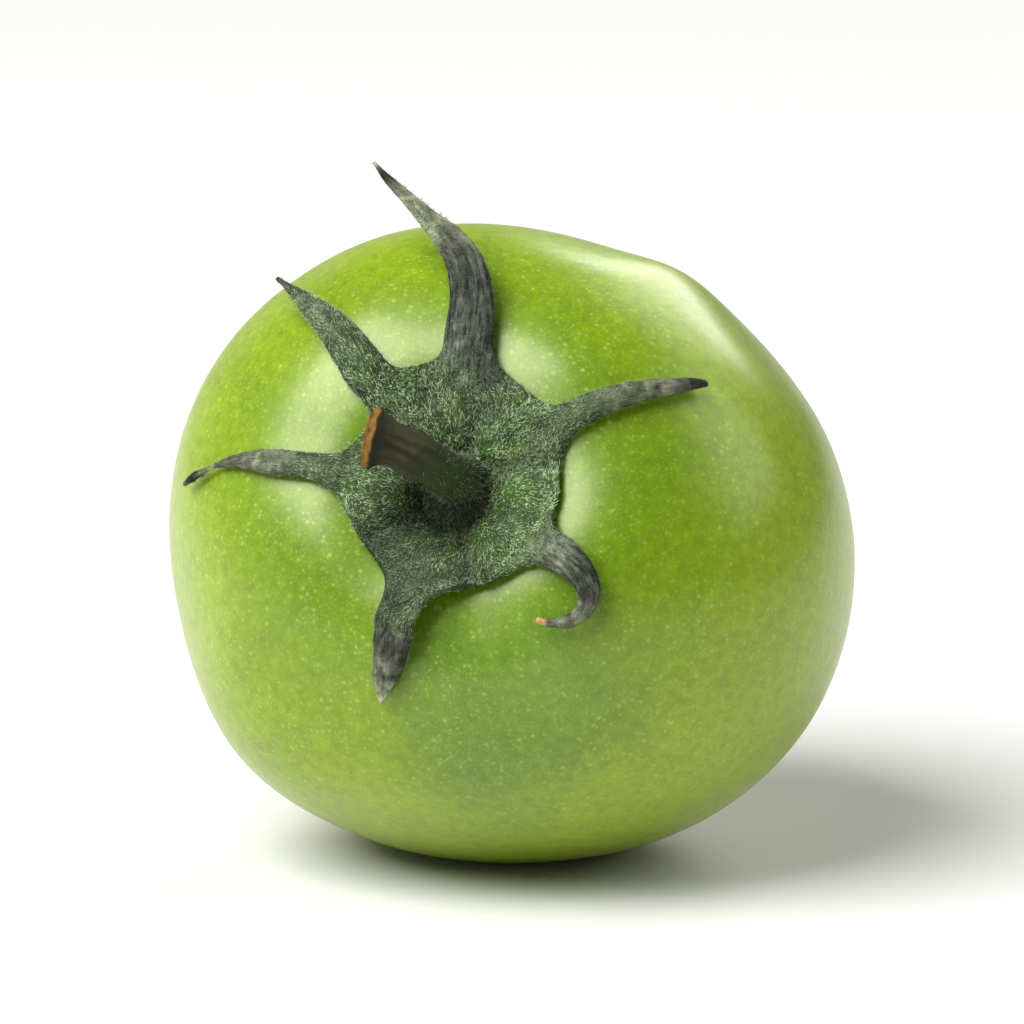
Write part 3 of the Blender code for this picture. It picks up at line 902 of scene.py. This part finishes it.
def make_blade(sepal, notch_before, notch_after, seed, look):
    """Points of one lobe's underside by row and column, with what its material and hairs need."""
    centre, headings = midrib(sepal)
    sway = shape_along(sepal.sway, np.arange(len(centre)) / FINE_STEPS)
    centre = centre + polar_points(sway * MM, headings + 90)
    left = blade_edge(sepal, centre, headings, notch_after, 1)
    right = blade_edge(sepal, centre, headings, notch_before, -1)
    lean = (left - right) / 2
    bow = (left + right) / 2 - centre
    half = np.linalg.norm(lean, axis=1)[:, None]
    rows = (np.arange(len(centre)) / FINE_STEPS)[:, None]
    across = np.linspace(-1, 1, BLADE_COLUMNS + 1)[None]
    # A blade bends round its midrib along an arc, and turns about it
    curl = shape_along(sepal.curl, rows)
    curl = np.where(np.abs(curl) < LEAST_CURL, LEAST_CURL, curl)
    twist = shape_along(sepal.twist, rows)
    flat = np.sin(curl * across) / np.sin(curl)
    drop = (np.cos(curl * across) - 1) / curl
    side = flat * np.cos(twist) - drop * np.sin(twist)
    up = flat * np.sin(twist) + drop * np.cos(twist)
    up = (up - up.min(axis=1, keepdims=True)) * half * ease(rows, 0, NECK_ROW)
    chart = centre[:, None] + side[..., None] * lean[:, None] + (across**2)[..., None] * bow[:, None]
    radius = round_stem(chart)[0]
    folded = ease(radius, *FOLD_START) * (1 - ease(radius, *FOLD_END))
    rise = (shape_along(sepal.rise, rows) + sepal.lift * (rows / TIP_ROW) ** 3) * MM
    height = BLADE_GAP + up + rise + (FOLD_LIFT + collar_folds(chart) * MM) * folded
    base = over_skin(chart, height)
    withered = np.clip(shape_along(sepal.dry, rows) + 0 * across, 0, 2)
    dry = np.minimum(withered, 1)
    creases = np.stack(np.broadcast_arrays(across * 2.2, rows * 0.55, 0), axis=-1)
    bumps = 0.5 * ripple(base, WRINKLE_SIZE, seed) + (np.abs(ripple(creases, 1, seed)) - 0.3) * dry * 1.6
    bumps = look.wrinkle * bumps * ease(rows, 0, 3)
    points = over_skin(chart, height + np.maximum(bumps, -0.6 * BLADE_GAP))
    # The throat carries the collar on up the stem's foot
    outward = np.arange(THROAT_ROWS)[:, None] / THROAT_ROWS
    inward = 1 - ease(outward)
    radius = THROAT_RADIUS + (COLLAR_RADIUS - THROAT_RADIUS) * outward
    throat = unit(chart[0]) * radius[..., None] + np.array(STEM_FOOT_SHIFT) * MM * inward[..., None]
    throat = over_skin(throat, BLADE_GAP + THROAT_RISE * inward + 0 * across)
    points = np.concatenate([throat, points])
    # Painted light and shade of the leaf. The black withered parts are darker, and the mottles are the
    # leaf's own uneven tone
    light, faded = blade_light(sepal, rows, across, curl, chart, base, seed)
    light = light * (1 - BLACK_LOSS * (withered - dry))
    # Painted shade deepens down the throat to the stem's foot
    light = np.concatenate([FOOT_LIGHT * (1 - outward) + light[:1] * outward, light])
    light = light * (1 + rough(points, [(share, size, seed + more) for share, size, more in MOTTLES]))
    # The tip, the edges and the outer half are thinner
    grow = with_throat(rows) + 0 * across
    burnt = max(0, sepal.tip - 1)
    end = ease((grow - TIP_ROW + 0.55 + 0.5 * burnt) / 0.45)
    thin = 1 - EDGE_THINNING * across**4 * ease(grow, NOTCH_ROW, 3) - OUTER_THINNING * ease(grow, 12, 5)
    thin = thin * (1 - TIP_THINNING * ease(grow, 17, 3))
    slim = shape_along(sepal.slim, grow, 1)
    thin = thin * np.clip(LEAST_THICKNESS + 0.9 * slim, LEAST_THICKNESS, 1)
    strip = across * with_throat(half, half[0, 0]) / (FIBRE_SCALE * FIBRE_WIDTH)
    return points, {
        "dry": with_throat(dry),
        "light": light,
        "tip": np.maximum(end * min(1, sepal.tip), with_throat(faded)),
        "burnt": end * burnt,
        "thick": thin,
        "row": grow,
        "blade": np.stack([across + 0 * grow, strip, grow / (FIBRE_SCALE * FIBRE_RUN)], axis=-1),
        "flow": unit(np.gradient(points, axis=0)),
    }


class TOMATO_OT_calyx(bpy.types.Operator):
    """Add the six-pointed calyx with its curled and withered blades"""

    bl_idname = "tomato.calyx"
    bl_label = "Calyx"

    def execute(self, context):
        look = context.scene.tomato_calyx
        notches = [polar_points(s.notch_radius * MM, s.notch_direction) for s in SEPALS]
        made = [
            make_blade(sepal, notches[i - 1], notches[i], SEED_STEP * (i + 1), look)
            for i, sepal in enumerate(SEPALS)
        ]
        rows, columns = made[0][0].shape[:2]
        lobes = len(SEPALS)
        index = np.arange(lobes * rows * columns).reshape(lobes, rows, columns)
        shared = THROAT_ROWS + NOTCH_ROW * FINE_STEPS + 1
        for lobe in range(lobes):
            index[(lobe + 1) % lobes, :shared, 0] = index[lobe, :shared, -1]
        faces = np.array([face for lobe in index for face in grid_faces(lobe)])
        used, faces = np.unique(faces, return_inverse=True)
        faces = faces.reshape(-1, 4)[:, ::-1].tolist()
        points = laid(np.concatenate([points.reshape(-1, 3) for points, _ in made])[used])
        calyx = new_piece("calyx_star", points, faces, leaf_material(look), "calyx")
        for name, values in made[0][1].items():
            shape = (rows * columns, *values.shape[2:])
            joined = np.concatenate([extra[name].reshape(shape) for _, extra in made])[used]
            store(calyx, name, leant(joined) if name == "flow" else joined)
        group = calyx.vertex_groups.new(name="thickness")
        for vertex, share in enumerate(read(calyx.data, "thick")):
            group.add((vertex,), float(share), "REPLACE")
        shell = calyx.modifiers.new("thickness", "SOLIDIFY")
        shell.thickness = look.thickness
        shell.offset = 1
        shell.vertex_group = group.name
        return {"FINISHED"}


def stem_path():
    """Fine points up the middle of the stem, and how far along it each one is."""
    step = STEM_LENGTH / (STEM_POINTS - 1)
    share = np.arange(STEM_POINTS) / (STEM_POINTS - 1)
    bend = math.radians(STEM_BEND) * share
    direction = STEM_FIRST_DIRECTION * (1 - share) + STEM_LAST_DIRECTION * share
    level = polar_points(np.sin(bend), direction)
    moves = step * np.concatenate([level, np.cos(bend)[:, None]], axis=1)
    foot = skin(np.zeros(1), 0) + np.array([0, 0, FOOT_GAP])
    points = np.concatenate([foot, foot + moves[:-1].cumsum(axis=0)])
    points[:, :2] += np.array(STEM_FOOT_SHIFT) * MM * (1 - ease(share, 0, 0.7))[:, None]
    return refine(points, STEM_STEPS), refine(share * STEM_LENGTH, STEM_STEPS)[:, 0]


def stem_radius(along):
    foot = (FOOT_RADIUS - STEM_RADIUS) * bell(along, 0, FOOT_LENGTH)
    knuckle = (KNUCKLE_RADIUS - STEM_RADIUS) * ease(1 - (STEM_LENGTH - along) / KNUCKLE_LENGTH)
    return STEM_RADIUS + foot + knuckle


def stem_frames(path):
    """The tangent of a path and two directions across it that don't twist."""
    tangent = unit(np.gradient(path, axis=0))
    first = np.empty_like(tangent)
    first[0] = unit(np.cross(tangent[0], (0, 1, 0)))
    for i in range(1, len(path)):
        first[i] = unit(first[i - 1] - tangent[i] * np.dot(first[i - 1], tangent[i]))
    return tangent, first, np.cross(tangent, first)


def rings_round(first, second, count):
    """Directions once round each pair of crossed ones."""
    angle = once_round(count)
    return first[:, None] * np.cos(angle)[:, None] + second[:, None] * np.sin(angle)[:, None]


class TOMATO_OT_stem(bpy.types.Operator):
    """Add the ridged stub of the stem with its torn end"""

    bl_idname = "tomato.stem"
    bl_label = "Stem"

    def execute(self, context):
        path, along = stem_path()
        tangent, first, second = stem_frames(path)
        ring = rings_round(first, second, STEM_SIDES)
        angle = once_round(STEM_SIDES)
        share = (along / STEM_LENGTH)[:, None]
        radius = stem_radius(along)[:, None]
        form = sum((deep * np.cos(count * angle + turn * share) for count, deep, turn in STEM_RIDGES), 1)
        form += rough(path[:, None] + ring * radius[..., None], STEM_LUMPS)
        form += sum(height * bell(share, middle, spread) for height, middle, spread in STEM_WAISTS)
        torn = ease(share, TORN_FROM, 1 - TORN_FROM)
        form += rough(ring[-1], TORN_LIP) * torn
        surface = path[:, None] + ring * (radius * form)[..., None]
        surface = surface + tangent[:, None] * (rough(ring[-1], TORN_EDGE) * torn)[..., None]
        # The torn end bulges and is rough with broken fibres
        last, out = surface[-1], tangent[-1]
        inward = np.linspace(0, 1, CAP_RINGS + 1)[1:-1, None]
        cap = last[None] + (path[-1] - last)[None] * inward[..., None]
        height = CAP_BULGE * np.sqrt(1 - (1 - inward) ** 2)
        height = height + rough(cap, TORN_FIBRES) * (1 - (1 - inward) ** 4)
        cap = cap + out * height[..., None]
        points = surface.reshape(-1, 3), cap.reshape(-1, 3), [path[-1] + out * CAP_BULGE], path[:1]
        points = laid(np.concatenate(points))
        index = np.arange(len(points) - 2).reshape(-1, STEM_SIDES)
        faces = grid_faces(index, closed=True) + fan(index.size, index[-1])
        faces += fan(index.size + 1, index[0], flip=True)
        bark = bark_material(context.scene.tomato_stem)
        stem = new_piece("stem_stub", points, faces, bark, "stem")
        # Each ring's place along the stem and share of its broken end, and a map that its fibres follow
        along = np.pad(along, (0, CAP_RINGS - 1), "edge")
        share = along / STEM_LENGTH
        for name, values in (("along", share), ("core", ease(share, 0.975, 0.02))):
            store(stem, name, np.append(np.repeat(values, STEM_SIDES), (1, 0)))
        wide = np.append(np.ones(len(path)), 1 - inward)[:, None]
        run = along[:, None] * BARK_STREAK / STEM_RADIUS / BARK_STREAK_LENGTH
        fibre = np.stack([np.cos(angle) * wide, np.sin(angle) * wide, run + 0 * angle], axis=-1)
        store(stem, "fibre", np.concatenate([fibre.reshape(-1, 3), np.zeros((2, 3))]))
        return {"FINISHED"}


class Roots(NamedTuple):
    """Where hairs stand, the way each one points, how long it is and how much light its colour keeps, which
    on the calyx is the leaf's painted light and shade.
    """

    places: np.ndarray
    ways: np.ndarray
    lengths: np.ndarray
    light: np.ndarray


def corners_of(mesh):
    """Vertex numbers and areas of a mesh's triangles, and places and normals of its vertices."""
    mesh.calc_loop_triangles()
    triangles = pull(mesh.loop_triangles, "vertices", 3, np.int32)
    points, normals = (pull(mesh.vertices, key, 3).astype(float) for key in ("co", "normal"))
    corners = points[triangles]
    sides = corners[:, 1:] - corners[:, :1]
    areas = np.linalg.norm(np.cross(sides[:, 0], sides[:, 1]), axis=1) / 2
    return triangles, areas, points, normals


def scatter(random, triangles, weights, count):
    """Picks points all over triangles, and returns each one's corners and shares of them."""
    chosen = random.choice(len(triangles), count, p=weights / weights.sum())
    shares = random.dirichlet((1, 1, 1), count)
    return triangles[chosen], shares


def mixed(values, corners, shares):
    return (values[corners] * shares.reshape(*shares.shape, *([1] * (values.ndim - 1)))).sum(axis=1)


def grow_hairs(name, roots, look, random):
    """Makes one mesh of three-sided pointed hairs that bend as they grow.

    Real hairs are too fine to show, so these are drawn as coarse as they need to be.
    """
    count = len(roots.places)
    ways = unit(roots.ways)
    bend = unit(ways + random.normal(0, HAIR_BEND, (count, 3)))
    first = unit(np.cross(ways, unit(random.normal(0, 1, (count, 3)))))
    ring = rings_round(first, np.cross(ways, first), 3)
    wide = (look.thickness / 2 * random.uniform(0.7, 1.25, count))[:, None, None]
    half = (roots.lengths / 2)[:, None]
    middle = roots.places + ways * half
    end = middle + bend * half
    points = roots.places[:, None] + ring * wide, middle[:, None] + ring * wide * 0.7, end[:, None]
    points = np.concatenate(points, axis=1).reshape(-1, 3)
    pattern = (0, 1, 4, 3), (1, 2, 5, 4), (2, 0, 3, 5), (3, 4, 6), (4, 5, 6), (5, 3, 6), (2, 1, 0)
    faces = [tuple(7 * hair + corner for corner in face) for hair in range(count) for face in pattern]
    piece = new_piece(name, points, faces, hair_material(look))
    store(piece, "reach", np.tile([0] * 3 + [0.5] * 3 + [1], count))
    # Each hair's random tone times its painted light and shade
    store(piece, "shade", np.repeat(random.uniform(0.5, 1.2, count) * roots.light, 7))
    # Each hair has its own square of the UV map named OFBake
    side = math.ceil(math.sqrt(count))
    cell = np.stack([np.arange(count) % side, np.arange(count) // side], axis=-1) / side
    spots = [spot for k in range(3) for spot in ((k, 0), (k + 1, 0), (k + 1, 1.5), (k, 1.5))]
    spots += [spot for k in range(3) for spot in ((k, 1.5), (k + 1, 1.5), (k + 0.5, 3))]
    spots += [(0.4, 0.1), (0.7, 0.1), (0.5, 0.4)]
    spots = (np.array(spots) / 3 * 0.8 + 0.1) / side
    layer = piece.data.uv_layers.new(name="OFBake")
    layer.data.foreach_set("uv", (cell[:, None] + spots[None]).astype(np.float32).ravel())


class TOMATO_OT_hairs(bpy.types.Operator):
    """Add the fine silvery hairs of the calyx and of the stem's foot"""

    bl_idname = "tomato.hairs"
    bl_label = "Hairs"

    def execute(self, context):
        look = context.scene.tomato_hair
        thickness = context.scene.tomato_calyx.thickness
        leaf = bpy.data.objects["calyx_star"].data
        triangles, areas, points, normals = corners_of(leaf)
        stored = (read(leaf, name) for name in ("row", "dry", "thick", "light", "flow"))
        row, dry, thick, light, flow = stored
        random = np.random.default_rng(HAIR_SEED)

        def on_leaf(weights, count, stand, spread, short, long):
            """Hairs that follow the blades and stand off them a little."""
            picked = scatter(random, triangles, weights, count)
            normal = unit(mixed(normals, *picked))
            withered = mixed(dry, *picked)
            height = thickness * mixed(thick, *picked) * HAIR_FOOT
            place = mixed(points, *picked) + normal * height[:, None]
            way = normal * stand + mixed(flow, *picked) * 0.8 + random.normal(0, spread, (count, 3))
            under = np.minimum((way * normal).sum(axis=1, keepdims=True) - HAIR_LEAST_STAND, 0)
            lengths = random.uniform(short, long, count) * (1 - DRY_HAIR_LENGTH * withered) * MM
            # The leaf's painted light and shade, less on withered leaf
            kept = mixed(light, *picked) * (1 - DRY_HAIR_LIGHT * withered)
            return Roots(place, way - normal * under, lengths, kept)

        on_collar = row[triangles].mean(axis=1) < NECK_ROW
        roots = on_leaf(areas * on_collar, look.collar_count, stand=0.35, spread=0.4, short=0.14, long=0.42)
        grow_hairs("collar_hairs", roots, look, random)
        weights = areas * ~on_collar * (1 - 0.45 * dry[triangles].mean(axis=1))
        roots = on_leaf(weights, look.sepal_count, stand=0.15, spread=0.3, short=0.1, long=0.3)
        grow_hairs("sepal_hairs", roots, look, random)
        grow_hairs("edge_hairs", self.on_edges(leaf, look, random), look, random)
        grow_hairs("stem_hairs", self.on_stem(look, random), look, random)
        return {"FINISHED"}

    def on_edges(self, leaf, look, random):
        """A fringe along the open edges of the calyx."""
        points, normals = corners_of(leaf)[2:]
        blade, flow, row, dry = (read(leaf, name) for name in ("blade", "flow", "row", "dry"))
        ends = np.flatnonzero((np.abs(blade[:, 0]) > 0.999) & (row > NOTCH_ROW) & (row < TIP_ROW - 1))
        chosen = random.choice(ends, look.edge_count)
        flow, normal, count = flow[chosen], normals[chosen], len(chosen)
        side = unit(np.cross(normal, flow)) * np.sign(blade[chosen, 0])[:, None]
        places = points[chosen] + flow * random.uniform(-0.2, 0.2, count)[:, None] * MM
        places = places + normal * random.uniform(0, 0.12, count)[:, None] * MM
        ways = side + 0.6 * flow + 0.25 * normal + random.normal(0, 0.4, (count, 3))
        return Roots(places, ways, random.uniform(0.08, 0.24, count) * MM, 1 - 0.6 * dry[chosen])

    def on_stem(self, look, random):
        """Longer hairs that lean off the lower half of the stem."""
        bark = bpy.data.objects["stem_stub"].data
        triangles, areas, points, normals = corners_of(bark)
        share = read(bark, "along")[triangles].mean(axis=1)
        weights = areas * np.clip(0.75 - share, 0, 1) ** 2.5 * (share > 0.05)
        picked = scatter(random, triangles, weights, look.stem_count)
        normal = unit(mixed(normals, *picked))
        places = mixed(points, *picked) - normal * 0.02 * MM
        ways = normal * 0.9 + random.normal(0, 0.5, normal.shape)
        return Roots(places, ways, random.uniform(0.15, 0.45, len(places)) * MM, np.full(len(places), 0.42))


def from_tomato(azimuth, elevation):
    """The way to a place so many degrees to the right of the camera's side, and so many up."""
    azimuth, elevation = math.radians(azimuth), math.radians(elevation)
    level = math.cos(elevation)
    return Vector((math.sin(azimuth) * level, -math.cos(azimuth) * level, math.sin(elevation)))


class Softbox(NamedTuple):
    """A rectangular lamp that faces the tomato."""

    name: str
    azimuth: float  # degrees to the right of the camera's side
    elevation: float  # degrees
    distance: float
    width: float
    height: float
    radiance: float  # where 1 is a white that just clips

    def place(self, aim):
        lamp = bpy.data.lights.new(self.name, "AREA")
        lamp.shape = "RECTANGLE"
        lamp.size, lamp.size_y = self.width, self.height
        lamp.energy = self.radiance * math.pi * self.width * self.height
        holder = new_object(self.name, lamp)
        out = from_tomato(self.azimuth, self.elevation)
        holder.location = aim + out * self.distance
        holder.rotation_euler = out.to_track_quat("Z", "Y").to_euler()


SOFTBOXES = (
    Softbox("key_softbox", -59, 51, 0.6, 0.52, 0.46, 9.5),
    Softbox("back_softbox", 138, 46, 0.7, 0.36, 0.3, 2.1),
    Softbox("back_window", 154, 29, 0.7, 0.4, 0.14, 6.6),
    Softbox("side_reflector", 86, 36, 0.6, 0.34, 0.36, 2.6),
)


class TOMATO_OT_stage(bpy.types.Operator):
    """Add the white table, the soft lights and the camera"""

    bl_idname = "tomato.stage"
    bl_label = "Stage"

    def execute(self, context):
        scene = context.scene
        look = scene.tomato_stage
        made, shader, _ = new_material("matt_white_table")
        feed(shader, {"Base Color": look.floor, "Roughness": 0.9, "Specular IOR Level": 0.2})
        bpy.ops.mesh.primitive_plane_add(size=TABLE_SIZE, location=(0, 0, -TABLE_DROP))
        floor = context.object
        floor.name = "floor"
        floor.data.materials.append(made)
        # The ceiling is dark and the walls darken away from the far left, so that the gloss shows the lamps
        scene.world = bpy.data.worlds.new("pale_walls_dark_ceiling")
        scene.world.use_nodes = True
        node = partial(add, scene.world.node_tree)
        way = node("TexCoord").outputs["Generated"]
        height = node("SeparateXYZ", [way]).outputs["Z"]
        tone = node("ValToRGB", [height], ((0, look.wall), (0.12, look.wall), (0.45, look.ceiling)))
        side = node("VectorMath", [way, (-0.87, 0.5, 0)], operation="DOT_PRODUCT")
        falloff = node("MapRange", [side, -0.2, 0.8, 0.24, 0.76])
        lit = node("VectorMath", {0: tone, "Scale": falloff}, operation="SCALE")
        feed(scene.world.node_tree.nodes["Background"], {"Color": lit})
        aim = Vector((0, 0, AIM_HEIGHT))
        for lamp in SOFTBOXES:
            lamp.place(aim)
        lens = bpy.data.cameras.new("camera")
        lens.lens = look.lens
        lens.clip_start = 0.01
        camera = new_object("camera", lens)
        camera.location = aim + from_tomato(0, CAMERA_ELEVATION) * look.distance
        camera.rotation_euler = (math.radians(90 - CAMERA_ELEVATION), 0, 0)
        scene.camera = camera
        scene.view_settings.view_transform = "Standard"
        return {"FINISHED"}


class TOMATO_PT_panel(bpy.types.Panel):
    """Lists the pieces that make up the tomato"""

    bl_label = "Tomato"
    bl_idname = "TOMATO_PT_panel"
    bl_space_type = "VIEW_3D"
    bl_region_type = "UI"
    bl_category = "Tomato"

    def draw(self, context):
        for operator in OPERATORS:
            self.layout.operator(operator.bl_idname)


LOOKS = {
    "tomato_fruit": TomatoFruitLook,
    "tomato_calyx": TomatoCalyxLook,
    "tomato_stem": TomatoStemLook,
    "tomato_hair": TomatoHairLook,
    "tomato_stage": TomatoStageLook,
}
OPERATORS = (
    TOMATO_OT_fruit,
    TOMATO_OT_scar,
    TOMATO_OT_calyx,
    TOMATO_OT_stem,
    TOMATO_OT_hairs,
    TOMATO_OT_stage,
)


def register():
    for made in (*LOOKS.values(), *OPERATORS, TOMATO_PT_panel):
        bpy.utils.register_class(made)
    for name, look in LOOKS.items():
        setattr(bpy.types.Scene, name, bpy.props.PointerProperty(type=look))


def unregister():
    for name in LOOKS:
        delattr(bpy.types.Scene, name)
    for made in (TOMATO_PT_panel, *OPERATORS, *LOOKS.values()):
        bpy.utils.unregister_class(made)


def main():
    register()
    bpy.ops.tomato.fruit()
    bpy.ops.tomato.scar()
    bpy.ops.tomato.calyx()
    bpy.ops.tomato.stem()
    bpy.ops.tomato.hairs()
    bpy.ops.tomato.stage()


if __name__ == "__main__":
    main()
